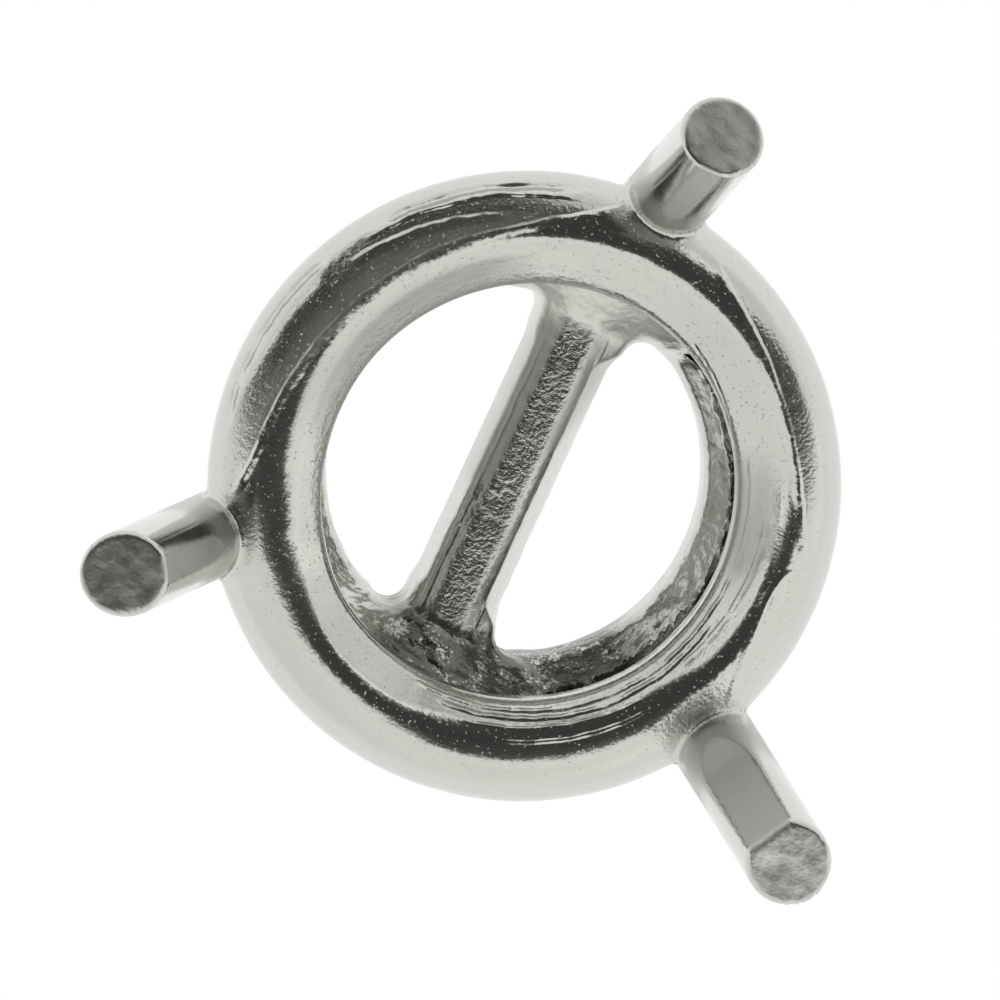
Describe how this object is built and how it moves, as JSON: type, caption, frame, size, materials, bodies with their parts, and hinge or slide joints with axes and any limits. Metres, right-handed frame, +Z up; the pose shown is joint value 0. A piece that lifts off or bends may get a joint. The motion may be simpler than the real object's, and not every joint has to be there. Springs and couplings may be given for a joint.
{
  "type": "earring setting",
  "caption": "Cast round earring setting: a rounded rail over a base ring, splayed round prongs that hold a stone, and a cross bar whose underside takes an ear post.",
  "frame": {"origin": "middle of the underside, on the ring's axis, where an ear post is soldered to the bar", "axes": "+Z up along the ring's axis towards the prong ends, +Y along the cross bar towards the prong in line with it, X across the bar"},
  "size_m": [0.0074, 0.0069, 0.0043],
  "materials": {
    "cast_metal": "silvery white metal, polished rail and prongs, duller as-cast skin inside the ring and on the bar"
  },
  "bodies": {
    "root": {"setting": "cast_metal"}
  },
  "joints": []
}
